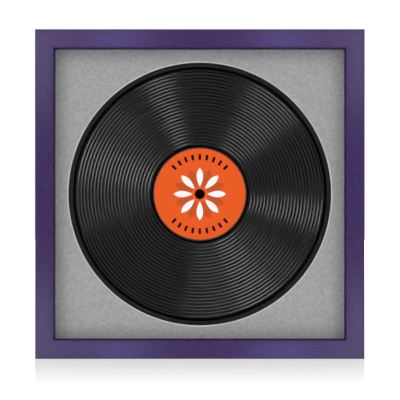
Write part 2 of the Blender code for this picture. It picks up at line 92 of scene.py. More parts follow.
# Tolerances of the mesh work
MERGE = 0.00001
HAIR_GAP = 0.00002
NEAR_MITRE = 0.0005
FLAT_ANGLE = radians(1)
SHARP_ANGLE = radians(30)
TURNING_RADIUS = 0.1        # of the circle that a turned outline is carried round

RIGHT_ANGLE = radians(90)
OUT = Vector((0, 1, 0))                                   # out of the back
TO_BACK = Matrix.Rotation(-RIGHT_ANGLE, 4, "X")           # +Z becomes +Y
TO_FRONT = Matrix.Rotation(RIGHT_ANGLE, 4, "X")           # +Z becomes -Y

# Indices of refraction
CELLULOSE = 1.45            # board, paper and ink
VINYL = 1.54

BANDS_PER_SCALE = 20 / tau         # of a wave texture, to the metre

# Softboxes that the record mirrors: degrees counter-clockwise from the right, width in
# metres, and share of the lamps' brightness
SOFTBOXES = {
    "upper right softbox": (51, 0.48, 0.77),
    "upper strip": (110.4, 0.22, 1.15),
    "left softbox": (162, 0.36, 0.83),
    "wide left softbox": (164, 1.25, 0.39),
    "lower right softbox": (299, 0.36, 0.78),
    "wide lower softbox": (295, 1.2, 0.40),
    "right strip": (350, 0.23, 1.2),
}
SOFTBOX_HEIGHT = 0.5

# Softboxes that only the rails mirror, one of each kind to a quarter of the frame: the
# stretch sideways and upwards, as shares of half the frame, brightness and tone
RAIL_SOFTBOXES = (
    ((0.80, 1.38), (0.54, 1.36), 1.72, (0.89, 0.84, 1.0)),
    ((0.37, 0.63), (0.72, 1.36), 4.15, (0.50, 0.45, 1.0)),
)
WATTS_PER_RADIANCE = 4      # of an area lamp, for each square metre
FLOOR_HALF = 6.0


def linear(code):
    """Linear RGBA from an sRGB hex colour such as #EB5E28."""
    shares = [int(code[start:start + 2], 16) / 255 for start in (1, 3, 5)]
    values = [share / 12.92 if share <= 0.04045 else ((share + 0.055) / 1.055) ** 2.4
              for share in shares]
    return (*values, 1.0)


WHITE = linear("#FFFFFF")


def colour(name, description, code):
    """A colour setting that starts from an sRGB hex value."""
    return FloatVectorProperty(name=name, description=description, subtype="COLOR", size=4,
                               min=0, max=1, default=linear(code))


def length(name, description, metres):
    """A length setting."""
    return FloatProperty(name=name, description=description, unit="LENGTH", precision=5,
                         default=metres)


def angle(name, description, degrees):
    """An angle setting."""
    return FloatProperty(name=name, description=description, subtype="ANGLE",
                         default=radians(degrees))


def count(name, description, number):
    """A whole number setting."""
    return IntProperty(name=name, description=description, default=number)


def light(name, description, level):
    """A brightness setting."""
    return FloatProperty(name=name, description=description, default=level)


class RailSettings(bpy.types.PropertyGroup):
    lacquer: colour("Lacquer", "Colour of the rails' lacquer", "#3E2D5B")
    # The sight edge's colour is darker than the lacquer: painted shade in the bevel next to the
    # glazing.
    sight_edge_shade: colour("Sight edge", "Colour of the bevel next to the glazing", "#24163C")
    painted_shade_width: length("Sight edge width", "Width of the bevel next to the glazing", 0.002)
    edge_radius: length("Edge radius", "Rounding of the rails' long edges", 0.0003)
    grain_width: length("Grain width", "Width of the grain that shows in the lacquer", 0.0012)


class MatSettings(bpy.types.PropertyGroup):
    board: colour("Board", "Colour of the mat's face", "#A5A5A5")
    core: colour("Core", "Colour of the cut edge", "#BFBFBF")
    overlap: length("Overlap", "How far the window covers the record's rim", 0.0003)
    tooth: length("Tooth", "Size of the paper's mottling", 0.0034)
    segments: count("Segments", "Sides of the window", 288)


class RecordSettings(bpy.types.PropertyGroup):
    # The land's grey is black vinyl lightened by painted sheen; the grooves keep the vinyl's own
    # black.
    land: colour("Land", "Colour of the plain vinyl between the bands", "#272727")
    groove: colour("Groove", "Colour of the cut vinyl in the bands", "#0C0C0C")
    dark: colour("Dark bands", "Colour of the bands beside rim and label", "#020202")
    # The raised ring's lighter grey is a painted highlight, where the ring catches the light.
    lip: colour("Lip", "Colour of the raised ring round the label", "#484848")
    bands: count("Bands", "Bands of grooves", 22)
    first_band: length("First band", "Radius of the innermost band", 0.0591)
    band_pitch: length("Band pitch", "Distance from one band to the next", 0.003856)
    band_width: length("Band width", "Width of a band of grooves", 0.00105)
    teeth: count("Grooves", "Grooves drawn in each band", 4)
    groove_angle: angle("Groove angle", "Slope of a groove's outer wall", 17)
    bead_width: length("Bead width", "Width of the raised rim", 0.0052)
    lead_in_width: length("Lead-in width", "Width of the dark band inside the rim", 0.0031)
    run_out_width: length("Run-out width", "Width of the dark band round the label", 0.0027)
    lip_width: length("Lip width", "Width of the raised ring round the label", 0.0010)
    dark_recess: length("Dark band recess", "Depth of both dark bands", 0.0004)
    land_recess: length("Land recess", "Depth of the playing surface below the rim", 0.0002)
    segments: count("Segments", "Steps round the record", 256)


class LabelSettings(bpy.types.PropertyGroup):
    paper: colour("Paper", "Colour of the front label", "#ED5E24")
    shade: colour("Shade", "Darker print on the front label", "#CF5421")
    light_ink: colour("Light ink", "Colour of the rosette", "#F9F9FA")
    dark_ink: colour("Dark ink", "Colour of the marks and of the centre ring", "#070606")
    back_paper: colour("Back paper", "Colour of the back label", "#1C1B1B")
    diameter: length("Diameter", "Diameter of a label", 0.1046)
    hole: length("Hole", "Diameter of the spindle hole", 0.00724)
    centre_ring: length("Centre ring", "Diameter of the black print round the hole", 0.0117)
    petals: count("Petals", "Petals of the rosette", 8)
    petal_start: length("Petal start", "Radius where a petal starts", 0.0085)
    petal_length: length("Petal length", "Length of a petal", 0.0215)
    petal_width: length("Petal width", "Greatest width of a petal", 0.0074)
    shade_width: length("Shade width", "Greatest width of a darker petal", 0.00962)
    marks: count("Marks", "Marks in each arc", 9)
    mark_spacing: angle("Mark spacing", "Angle from one mark to the next", 11)
    mark_radius: length("Mark radius", "Radius of the arcs of marks", 0.0425)
    mark_length: length("Mark length", "Length of a mark, towards the centre", 0.0064)
    mark_width: length("Mark width", "Width of a mark", 0.0028)
    ink: length("Ink", "Thickness of the printed film", 0.00003)


class HardwareSettings(bpy.types.PropertyGroup):
    zinc: colour("Zinc", "Colour of the plated steel", "#C9CBCC")
    spring: colour("Spring steel", "Colour of the V-nails", "#A9A8A5")
    rubber: colour("Rubber", "Colour of the bumpers", "#8E8E8C")
    head_diameter: length("Head diameter", "Diameter of a screw's head", 0.006)
    head_height: length("Head height", "Height of a screw's head", 0.0018)
    shank_diameter: length("Shank diameter", "Diameter of a screw's shank", 0.003)
    shank_length: length("Shank length", "Length of a screw below its head", 0.011)
    spin: angle("Spin", "How far the screws' slots turn from each other", 45)
    button_width: length("Button width", "Width of a turn button", 0.008)
    button_thickness: length("Button thickness", "Thickness of a turn button", 0.0012)
    strap_width: length("Strap width", "Width of a hanger's strap", 0.009)
    strap_thickness: length("Strap thickness", "Thickness of a hanger's strap", 0.001)
    wire_diameter: length("Wire diameter", "Diameter of a D-ring's wire", 0.0024)


class BoardSettings(bpy.types.PropertyGroup):
    hardboard: colour("Hardboard", "Colour of the backing board", "#7A5436")
    foam_board: colour("Foam board", "Colour of the spacer and the filler", "#070707")
    weave: length("Screen pitch", "Pitch of the screen marks on the backing", 0.0016)


class StudioSettings(bpy.types.PropertyGroup):
    distance: length("Camera distance", "From the camera to the frame's front", 2.0)
    view_width: length("View width", "Width that the camera sees at the frame's front", 0.4559)
    camera_drop: length("Camera drop", "Camera's height below the frame's centre", 0.0068)
    camera_side: length("Camera side", "Camera's place to the right of the centre", 0.0002)
    floor: colour("Floor", "Colour of the floor", "#6C6C6C")
    floor_glow: light("Floor glow", "Light that the floor gives itself", 0.554)
    backlight: light("Backlight", "Strip that fades the frame's shadow on the floor", 564.0)
    side_light: light("Side light", "Small lamps that end that shadow at both sides", 94000.0)
    backlight_distance: length("Backlight distance", "From the frame to strip and lamps", 15.0)
    backlight_width: length("Backlight width", "Width of the strip", 0.35)
    side_light_size: length("Side light size", "Width and height of each small lamp", 0.15)
    lamp_distance: length("Lamp distance", "From the frame's centre to each softbox", 1.594)
    lamp_angle: angle("Lamp angle", "Softboxes' angle off the record's axis", 43)
    lamp_radiance: light("Lamp radiance", "Brightness of the softboxes", 2.0)
    rail_lamp_distance: length("Rail lamp distance", "From the rails to their softboxes", 0.3)


SETTINGS = {
    "record_frame_rails": RailSettings, "record_frame_mat": MatSettings,
    "record_frame_record": RecordSettings, "record_frame_label": LabelSettings,
    "record_frame_hardware": HardwareSettings, "record_frame_boards": BoardSettings,
    "record_frame_studio": StudioSettings,
}


def add_node(tree, kind, values=()):
    """A new node in a tree.

    A value goes to the property or the input of its name. A node or a socket is linked.
    """
    node = tree.nodes.new(kind)
    for name, value in dict(values).items():
        if isinstance(value, bpy.types.Node):
            value = value.outputs[0]
        if isinstance(value, bpy.types.NodeSocket):
            tree.links.new(value, node.inputs[name])
        elif isinstance(name, str) and hasattr(node, name):
            setattr(node, name, value)
        else:
            node.inputs[name].default_value = value
    return node


def mottle(tree, patch, stretch=(1, 1, 1), detail=2.0):
    """A cloudy 0 to 1 pattern whose patches have a real size; a stretch below 1 draws them out."""
    place = add_node(tree, "ShaderNodeTexCoord").outputs["Object"]
    mapping = add_node(tree, "ShaderNodeMapping", {"Scale": stretch, "Vector": place})
    noise = add_node(tree, "ShaderNodeTexNoise",
                     {"Scale": 1 / patch, "Detail": detail, "Vector": mapping})
    return add_node(tree, "ShaderNodeMapRange",
                    {"From Min": 0.25, "From Max": 0.75, "Value": noise.outputs["Fac"]})


def to_shader(tree, socket, source):
    """Link a node to a socket of a finish's shader."""
    tree.links.new(source.outputs[0], tree.nodes["Principled BSDF"].inputs[socket])


def emboss(tree, pattern, depth, strength):
    """Raise the surface by a real depth where the pattern is 1."""
    to_shader(tree, "Normal", add_node(tree, "ShaderNodeBump", {
        "Strength": strength, "Distance": depth, "Height": pattern}))


def new_finish(name, base, roughness, ior=None, specular=0.5, metallic=0.0, more=()):
    """A material with plain values on its shader's own sockets."""
    material = bpy.data.materials.new(name)
    material.use_nodes = True
    material.diffuse_color = base
    values = {"Base Color": base, "Roughness": roughness, "Specular IOR Level": specular,
              "Metallic": metallic, **dict(more)}
    if ior:
        values["IOR"] = ior
    for socket, value in values.items():
        material.node_tree.nodes["Principled BSDF"].inputs[socket].default_value = value
    return material


def clouded(name, base, patch, roughness, spread=0.0, ripple=0.0, relief=None,
            stretch=(1, 1, 1), detail=2.0, **plain):
    """A finish whose colour, gloss and height follow one cloudy pattern of a real size.

    The colour varies by the spread, as a share, and the roughness by the ripple. The relief
    is the pattern's depth and strength.
    """
    material = new_finish(name, base, roughness, **plain)
    tree = material.node_tree
    pattern = mottle(tree, patch, stretch, detail)
    if spread:
        factor = add_node(tree, "ShaderNodeMapRange",
                          {"To Min": 1 - spread, "To Max": 1 + spread, "Value": pattern})
        to_shader(tree, "Base Color", add_node(tree, "ShaderNodeVectorMath", {
            "operation": "SCALE", 0: base[:3], "Scale": factor}))
    if ripple:
        to_shader(tree, "Roughness", add_node(tree, "ShaderNodeMapRange", {
            "To Min": roughness - ripple, "To Max": roughness + ripple, "Value": pattern}))
    if relief:
        emboss(tree, pattern, *relief)
    return material


def lacquer_finish(name, base, grain_width, along, specular):
    """Sprayed satin polyurethane over fine-grained wood.

    The grain runs along the rail and shows as faint streaks in the colour and the film,
    drawn wider than real ones, which are too fine to show.
    """
    streak = [1, 1, 1]
    streak[along] = 0.14
    return clouded(name, base, patch=grain_width, roughness=0.28, ior=1.5, specular=specular,
                   spread=0.1, ripple=0.015, relief=(0.00002, 0.35), stretch=streak, detail=4)


def mat_finish(base, tooth):
    """Uncoated cotton mat board: no gloss, and a soft tooth, drawn coarse enough to show."""
    return clouded("grey mat board", base, patch=tooth, roughness=0.95, ior=CELLULOSE,
                   specular=0.15, spread=0.14, relief=(0.00014, 0.35), detail=3)


def core_finish(base):
    """White cellulose core of the mat board, cut clean by a blade, so nearly even."""
    return clouded("white board core", base, patch=0.0008, roughness=0.9, ior=CELLULOSE,
                   specular=0.15, spread=0.04)


def land_finish(name, base):
    """Pressed vinyl between the bands: smooth and satin, with faint cloudy scuffs. Its grey is
    black vinyl lightened by painted sheen.
    """
    return clouded(name, base, patch=0.004, roughness=0.2, ior=VINYL, spread=0.06)


def groove_finish(base):
    """Cut vinyl: darker than the land, and bright where a wall mirrors a lamp."""
    return clouded("grooved vinyl", base, patch=0.003, roughness=0.16, ior=VINYL,
                   specular=1.0, ripple=0.03)


def dark_band_finish(base):
    """Deep bands beside the rim and the label, which mirror next to nothing."""
    return clouded("dead wax", base, patch=0.002, roughness=0.5, ior=VINYL, specular=0.02,
                   ripple=0.05)


def paper_finish(name, base):
    """Printed and pressed label paper: even ink with a faint fibre, drawn coarse to show."""
    return clouded(name, base, patch=0.0009, roughness=0.6, ior=CELLULOSE, specular=0.08,
                   spread=0.03, relief=(0.00003, 0.3), detail=3)


def ink_finish(name, base):
    """Matt printing ink, even but for the paper's fibre."""
    return clouded(name, base, patch=0.0009, roughness=0.55, ior=CELLULOSE, specular=0.1,
                   spread=0.02)


def acrylic_finish():
    """Anti-reflective acrylic: clear from the front, with a faint sheen at a slant.

    The coating takes the first reflection down to a fifth of bare acrylic's, which an
    index of 1.2 stands for.
    """
    material = bpy.data.materials.new("anti-reflective acrylic")
    material.use_nodes = True
    tree = material.node_tree
    tree.nodes.clear()
    gloss = add_node(tree, "ShaderNodeMapRange",
                     {"To Min": 0.02, "To Max": 0.05, "Value": mottle(tree, 0.05)})
    fresnel = add_node(tree, "ShaderNodeFresnel", {"IOR": 1.2})
    side = add_node(tree, "ShaderNodeNewGeometry")
    outside = add_node(tree, "ShaderNodeMath",
                       {"operation": "SUBTRACT", 0: 1.0, 1: side.outputs["Backfacing"]})
    share = add_node(tree, "ShaderNodeMath", {"operation": "MULTIPLY", 0: fresnel, 1: outside})
    clear = add_node(tree, "ShaderNodeBsdfTransparent", {"Color": WHITE})
    mirror = add_node(tree, "ShaderNodeBsdfGlossy", {"Color": WHITE, "Roughness": gloss})
    sheet = add_node(tree, "ShaderNodeMixShader", {"Fac": share, 1: clear, 2: mirror})
    add_node(tree, "ShaderNodeOutputMaterial", {"Surface": sheet})
    return material


def board_finish(base):
    """Black paper face of a foam board."""
    return clouded("black foam board", base, patch=0.0015, roughness=0.85, ior=CELLULOSE,
                   specular=0.1, spread=0.08)


def hardboard_finish(base, pitch):
    """Brown pressed-fibre board, screen side out: crossed screen marks and dark fibres."""
    material = clouded("brown hardboard", base, patch=0.0011, roughness=0.8, ior=CELLULOSE,
                       spread=0.17, stretch=(1, 1, 0.4), detail=4)
    tree = material.node_tree
    place = add_node(tree, "ShaderNodeTexCoord").outputs["Object"]
    waves = []
    for turn in (RIGHT_ANGLE / 2, -RIGHT_ANGLE / 2):
        across = add_node(tree, "ShaderNodeMapping", {"Rotation": (0, turn, 0), "Vector": place})
        wave = add_node(tree, "ShaderNodeTexWave",
                        {"wave_type": "BANDS", "bands_direction": "X",
                         "Scale": 1 / pitch / BANDS_PER_SCALE, "Distortion": 1.0,
                         "Detail": 1.0, "Detail Scale": 1 / pitch, "Vector": across})
        waves.append(wave.outputs["Fac"])
    screen = add_node(tree, "ShaderNodeMath", {"operation": "MULTIPLY", 0: waves[0], 1: waves[1]})
    emboss(tree, screen, depth=0.00012, strength=0.6)
    return material


def steel_finish(name, base, roughness, ripple, scratch):
    """Plated or drawn steel: a bright metal, clouded and scratched.

    Real scratches are too fine to show, so these are drawn several times as wide.
    """
    material = clouded(name, base, patch=0.003, roughness=roughness, metallic=1.0,
                       spread=0.06, ripple=ripple)
    tree = material.node_tree
    emboss(tree, mottle(tree, scratch, stretch=(1, 1, 0.08)), depth=0.000006, strength=0.4)
    return material


def rubber_finish(base):
    """Soft clear-grey bumper rubber: dull, and slightly cloudy inside."""
    return clouded("clear-grey rubber", base, patch=0.002, roughness=0.45, ior=1.52,
                   spread=0.05, more={"Subsurface Weight": 0.2,
                                      "Subsurface Radius": (0.002, 0.002, 0.002)})


def link(name, data):
    """A new object in the scene."""
    thing = bpy.data.objects.new(name, data)
    bpy.context.scene.collection.objects.link(thing)
    return thing


def plain_mesh(source):
    """The mesh that an object shows, after which the object is removed."""
    bpy.context.view_layer.update()
    graph = bpy.context.evaluated_depsgraph_get()
    mesh = bpy.data.meshes.new_from_object(source.evaluated_get(graph))
    bpy.data.objects.remove(source, do_unlink=True)
    return mesh


def clean(mesh, place=None, sharp=SHARP_ANGLE):
    """Merge doubles, point faces outwards, move to a place and shade round parts smooth."""
    bm = bmesh.new()
    bm.from_mesh(mesh)
    bmesh.ops.remove_doubles(bm, verts=bm.verts, dist=MERGE)
    bmesh.ops.dissolve_degenerate(bm, edges=bm.edges, dist=MERGE / 10)
    bmesh.ops.recalc_face_normals(bm, faces=bm.faces)
    bm.to_mesh(mesh)
    bm.free()
    if place:
        mesh.transform(place)
    mesh.shade_smooth()
    mesh.set_sharp_from_angle(angle=sharp)
    return mesh


def cut(blank, cutter, crossed=False):
    """The plain mesh of a blank less its cutter, which may be of bars that cross."""
    boolean = blank.modifiers.new("cut", "BOOLEAN")
    boolean.object = cutter
    boolean.solver = "EXACT"
    boolean.use_self = crossed
    mesh = plain_mesh(blank)
    bpy.data.objects.remove(cutter, do_unlink=True)
    return mesh


def middle(node):
    """The middle of a node's box."""
    low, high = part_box(node)
    return (low + high) / 2


def to_front(depth):
    """Sets a shape drawn about Z on the frame's axis at a depth, its +Z to the front."""
    return Matrix.Translation((0, depth, CENTRE.z)) @ TO_FRONT


def placed(place, x_axis, z_axis):
    """Sets a shape at a place with its X and Z axes along two directions."""
    axes = Matrix((x_axis, z_axis.cross(x_axis), z_axis))
    return Matrix.Translation(place) @ axes.transposed().to_4x4()


def add_piece(name, mesh, finishes, replaced=(), body="frame"):
    """A finished piece: its materials, its body and the nodes that it stands for."""
    indices = [face.material_index for face in mesh.polygons]
    mesh.materials.clear()
    for material in finishes:
        mesh.materials.append(material)
    mesh.polygons.foreach_set("material_index", indices)
    piece = link(name, mesh)
    if replaced:
        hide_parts(*replaced)
    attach(piece, body)


def finish_node(name, material):
    """Give a node that keeps its shape its finish."""
    mesh = frame["nodes"][name].data
    mesh.materials.clear()
    mesh.materials.append(material)


def arc(centre, radius, start, turn, segments):
    """Points on an arc, both ends included; start and turn are in radians."""
    angles = [start + turn * step / segments for step in range(segments + 1)]
    return [(centre[0] + radius * cos(way), centre[1] + radius * sin(way)) for way in angles]


def circle(radius, segments):
    """Points on a circle about the origin."""
    return arc((0, 0), radius, 0, tau, segments)[:-1]


def rectangle(width, height):
    """The corners of a rectangle about the origin."""
    x, y = width / 2, height / 2
    return [(-x, -y), (x, -y), (x, y), (-x, y)]


def closed_curve(name, dimensions, outlines, rounding, steps):
    """A curve through closed outlines in XY, with a bevel of a radius."""
    curve = bpy.data.curves.new(name, "CURVE")
    curve.dimensions = dimensions
    curve.bevel_depth = rounding
    curve.bevel_resolution = steps
    for outline in outlines:
        spline = curve.splines.new("POLY")
        spline.points.add(len(outline) - 1)
        for point, (x, y) in zip(spline.points, outline):
            point.co = (x, y, 0, 1)
        spline.use_cyclic_u = True
    return curve


def plate(name, outlines, thickness, rounding=0.0, steps=2):
    """A flat plate about XY from closed outlines, its rims rounded by a curve's bevel."""
    curve = closed_curve(name, "2D", outlines, rounding, steps)
    curve.fill_mode = "BOTH"
    curve.extrude = thickness / 2 - rounding
    curve.offset = -rounding
    return clean(plain_mesh(link(name, curve)))


def new_tree(name, inputs):
    """A Geometry Nodes tree with a geometry input and output, and named inputs."""
    tree = bpy.data.node_groups.new(name, "GeometryNodeTree")
    for label, kind in {"Geometry": "Geometry", **inputs, "Material": "Material"}.items():
        tree.interface.new_socket(label, in_out="INPUT", socket_type=f"NodeSocket{kind}")
    tree.interface.new_socket("Geometry", in_out="OUTPUT", socket_type="NodeSocketGeometry")
    return tree, add_node(tree, "NodeGroupInput").outputs


def end_tree(tree, geometry, material):
    """Close a tree with Realize Instances and Set Material."""
    real = add_node(tree, "GeometryNodeRealizeInstances", {"Geometry": geometry})
    dressed = add_node(tree, "GeometryNodeSetMaterial", {"Geometry": real, "Material": material})
    add_node(tree, "NodeGroupOutput", {"Geometry": dressed})


def run_tree(tree, source, values):
    """The plain mesh that a tree makes of an object; values go to the inputs by name."""
    modifier = source.modifiers.new(tree.name, "NODES")
    modifier.node_group = tree
    for socket in tree.interface.items_tree:
        if socket.in_out == "INPUT" and socket.name in values:
            modifier[socket.identifier] = values[socket.name]
    return plain_mesh(source)


def turning_tree():
    """Carries an outline, drawn in XZ with X as the radius, round the Z axis."""
    tree, given = new_tree("Turned about an axis", {"Segments": "Int", "Turning Radius": "Float"})
    outline = add_node(tree, "GeometryNodeMeshToCurve", {"Mesh": given["Geometry"]})
    place = add_node(tree, "GeometryNodeInputPosition")
    axes = add_node(tree, "ShaderNodeSeparateXYZ", {"Vector": place}).outputs
    across = add_node(tree, "ShaderNodeMath",
                      {"operation": "SUBTRACT", 0: axes["X"], 1: given["Turning Radius"]})
    down = add_node(tree, "ShaderNodeMath", {"operation": "MULTIPLY", 0: axes["Z"], 1: -1})
    flat = add_node(tree, "ShaderNodeCombineXYZ", {"X": across, "Y": down})
    profile = add_node(tree, "GeometryNodeSetPosition", {"Geometry": outline, "Position": flat})
    ring = add_node(tree, "GeometryNodeCurvePrimitiveCircle",
                    {"Resolution": given["Segments"], "Radius": given["Turning Radius"]})
    shape = add_node(tree, "GeometryNodeCurveToMesh", {"Curve": ring, "Profile Curve": profile})
    end_tree(tree, shape, given["Material"])
    return tree


def fastening_tree():
    """Puts a copy of a fastener on each point, each turned by its own amount."""
    tree, given = new_tree("Fasteners", {"Fastener": "Object", "Facing": "Rotation",
                                         "Spin": "Float", "Seed": "Int"})
    fastener = add_node(tree, "GeometryNodeObjectInfo",
                        {"As Instance": True, "Object": given["Fastener"]})
    back = add_node(tree, "ShaderNodeMath", {"operation": "MULTIPLY", 0: given["Spin"], 1: -1})
    amount = add_node(tree, "FunctionNodeRandomValue",
                      {"data_type": "FLOAT", 2: back, 3: given["Spin"], "Seed": given["Seed"]})
    about = add_node(tree, "ShaderNodeCombineXYZ", {"Z": amount.outputs[1]})
    turn = add_node(tree, "FunctionNodeRotateRotation",
                    {"rotation_space": "LOCAL", "Rotation": given["Facing"],
                     "Rotate By": about})
    copies = add_node(tree, "GeometryNodeInstanceOnPoints",
                      {"Points": given["Geometry"], "Instance": fastener.outputs["Geometry"],
                       "Rotation": turn})
    end_tree(tree, copies, given["Material"])
    return tree


def marking_tree():
    """Repeats a mark round the Z axis; each copy's +Y points away from the axis."""
    tree, given = new_tree("Marks round a centre", {
        "Count": "Int", "Radius": "Float", "First Angle": "Float", "Step": "Float"})
    index = add_node(tree, "GeometryNodeInputIndex")
    way = add_node(tree, "ShaderNodeMath", {"operation": "MULTIPLY_ADD", 0: index,
                                            1: given["Step"], 2: given["First Angle"]})
    about = add_node(tree, "ShaderNodeCombineXYZ", {"Z": way})
    out = add_node(tree, "ShaderNodeCombineXYZ", {"Y": given["Radius"]})
    place = add_node(tree, "ShaderNodeVectorRotate",
                     {"rotation_type": "Z_AXIS", "Vector": out, "Angle": way})
    points = add_node(tree, "GeometryNodePoints", {"Count": given["Count"], "Position": place})
    copies = add_node(tree, "GeometryNodeInstanceOnPoints",
                      {"Points": points, "Instance": given["Geometry"], "Rotation": about})
    end_tree(tree, copies, given["Material"])
    return tree


def turned(name, outline, segments, place=None, closed=True, sharp=SHARP_ANGLE):
    """A turned mesh from points of radius and height; a closed outline makes a ring."""
    mesh = bpy.data.meshes.new(name)
    ends = [(index, index + 1) for index in range(len(outline) - 1)]
    if closed:
        ends.append((len(outline) - 1, 0))
    mesh.from_pydata([(radius, 0, height) for radius, height in outline], ends, [])
    values = {"Segments": segments, "Turning Radius": TURNING_RADIUS}
    return clean(run_tree(turning_tree(), link(name, mesh), values), place, sharp)


def rail_mesh(side, along, settings):
    """A rail with rounded long edges, its mitres drawn together to a hair."""
    bm = bmesh.new()
    bm.from_mesh(frame["nodes"][f"rail_{side}"].data)
    bmesh.ops.remove_doubles(bm, verts=bm.verts, dist=MERGE)
    bmesh.ops.dissolve_limit(bm, angle_limit=FLAT_ANGLE, verts=bm.verts, edges=bm.edges)
    across = 2 - along
    for vertex in bm.verts:
        offset = vertex.co - CENTRE
        if abs(abs(offset[along]) - abs(offset[across])) < NEAR_MITRE:
            reach = abs(offset[across]) - HAIR_GAP
            vertex.co[along] = CENTRE[along] + copysign(reach, offset[along])
    long_edges = [edge for edge in bm.edges
                  if edge.calc_length() > FRAME_HALF
                  and edge.is_manifold
                  and edge.calc_face_angle() > SHARP_ANGLE]
    bmesh.ops.bevel(bm, geom=long_edges, offset=settings.edge_radius, segments=3, profile=0.5,
                    affect="EDGES", clamp_overlap=True)
    mesh = bpy.data.meshes.new(f"rail_{side}")
    bm.to_mesh(mesh)
    bm.free()
    mesh.shade_smooth()
    mesh.set_sharp_from_angle(angle=SHARP_ANGLE)
    # Faces of the bevel next to the glazing take the second finish, whose darker colour is painted
    # shade.
    sight = SIGHT_HALF + settings.painted_shade_width
    for face in mesh.polygons:
        offset = face.center - CENTRE
        in_painted_shade = max(abs(offset.x), abs(offset.z)) < sight
        face.material_index = int(in_painted_shade and face.center.y < GLAZING_FRONT)
    return mesh


def mat_mesh(settings):
    """The window mat, its cut leaning outward to the front at 45 degrees."""
    size = 2 * MAT_HIGH.x
    thickness = MAT_HIGH.y - MAT_LOW.y
    window = RECORD_RADIUS - settings.overlap
    outlines = [rectangle(size, size), circle(window, settings.segments)]
    mesh = plate("window_mat", outlines, thickness)
    for vertex in mesh.vertices:
        if vertex.co.z > 0 and vertex.co.xy.length < window + MERGE:
            vertex.co.xy *= (window + thickness) / vertex.co.xy.length
    clean(mesh, to_front(middle("window_mat").y))
    for face in mesh.polygons:
        radius = (face.center - CENTRE).xz.length
        face.material_index = int(window < radius + MERGE and radius < window + thickness)
    return mesh


def record_radii(settings):
    """Radii of the record's steps: both sides of the lip, the playing surface and the bead."""
    lip_inside = bpy.context.scene.record_frame_label.diameter / 2 + CLEARANCE
    lip_outside = lip_inside + settings.lip_width
    bead_start = RECORD_RADIUS - settings.bead_width
    return (lip_inside, lip_outside, lip_outside + settings.run_out_width,
            bead_start - settings.lead_in_width, bead_start)


def record_outline(settings, grooved):
    """One face of the record from the hole to the rim: radius and height below the rim.

    Real grooves are too fine to show, so each band has a few coarse ones.
    """
    lip_inside, lip_outside, playing_start, playing_end, bead_start = record_radii(settings)
    dark, land = -settings.dark_recess, -settings.land_recess
    hole = bpy.context.scene.record_frame_label.hole / 2
    outline = [(hole, -LABEL_SEAT), (lip_inside, -LABEL_SEAT)]
    half_lip = settings.lip_width / 2
    outline += reversed(arc((lip_inside + half_lip, -half_lip), half_lip, radians(30),
                            radians(120), 4))
    outline += [(lip_outside, dark), (playing_start, dark), (playing_start, land)]
    groove = settings.band_width / settings.teeth
    depth = groove * tan(settings.groove_angle)
    for band in range(settings.bands):
        start = settings.first_band + settings.band_pitch * band - settings.band_width / 2
        if grooved:
            for tooth in range(settings.teeth):
                inner = start + groove * tooth
                outline += [(inner, land), (inner + groove, land - depth)]
        else:
            outline += [(start, land), (start + settings.band_width / 2, land - depth / 2)]
        outline.append((start + settings.band_width, land))
    outline += [(playing_end, land), (playing_end, dark), (bead_start, dark)]
    half_bead, steps = settings.bead_width / 2, 12
    outline += [(bead_start + half_bead * (1 - cos(way)),
                 -BEAD_HEIGHT + BEAD_HEIGHT * sin(way))
                for way in (pi * step / steps for step in range(1, steps))]
    outline.append((RECORD_RADIUS, -BEAD_HEIGHT))
    return outline


def record_mesh(settings):
    """The record, its playing side to the front."""
    top = (RECORD_HIGH.y - RECORD_LOW.y) / 2
    front = [(radius, top + height) for radius, height in record_outline(settings, True)]
    back = [(radius, -top - height) for radius, height in record_outline(settings, False)]
    mesh = turned("record", front + back[::-1], settings.segments,
                  to_front(middle("record").y), sharp=radians(10))
    lip_inside, lip_outside, playing_start, playing_end, bead_start = record_radii(settings)
    first = settings.first_band - settings.band_width / 2
    last = first + settings.band_pitch * settings.bands
    for face in mesh.polygons:
        radius = (face.center - CENTRE).xz.length
        share = (radius - first) % settings.band_pitch / settings.band_width
        grooved = first < radius < last and share < 1
        dark = (lip_outside - MERGE < radius < playing_start + MERGE
                or playing_end - MERGE < radius < bead_start + MERGE)
        raised = lip_inside - MERGE < radius < lip_outside - MERGE
        face.material_index = 1 if grooved else 2 if dark else 3 if raised else 0
    return mesh


def label_mesh(node, settings):
    """A label: a thin disc with softly pressed edges."""
    low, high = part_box(node)
    half = (high.y - low.y) / 2
    radius = settings.diameter / 2
    soft = half * 0.6
    outline = [(settings.hole / 2, half), (radius - soft, half)]
    outline += reversed(arc((radius - soft, half - soft), soft, 0, RIGHT_ANGLE, 3))
    outline += [(radius, -half), (settings.hole / 2, -half)]
    return turned(node, outline, segments=160, place=to_front(middle(node).y))


def repeated(name, outline, settings, copies, radius, first, step, films, material):
    """A print of one mark repeated round the label's centre, on the front label's face.

    A print of two films covers one of a single film.
    """
    thickness = settings.ink * films
    mark = link(name, plate(name, [outline], thickness))
    mesh = run_tree(marking_tree(), mark,
                    {"Count": copies, "Radius": radius, "First Angle": first, "Step": step,
                     "Material": material})
    return clean(mesh, to_front(LABEL_FACE - thickness / 2))


def leaf(reach, width, segments=14):
    """A petal's outline from its root at the origin to its tip along +Y, widest past halfway."""
    fullness, lean = 0.8, 0.5
    side = []
    for share in (step / segments for step in range(segments + 1)):
        swell = sin(pi * share) ** fullness * (1 - lean / 2 + lean * share)
        side.append((width / 2 * swell, reach * share))
    return side + [(-x, y) for x, y in side[-2:0:-1]]


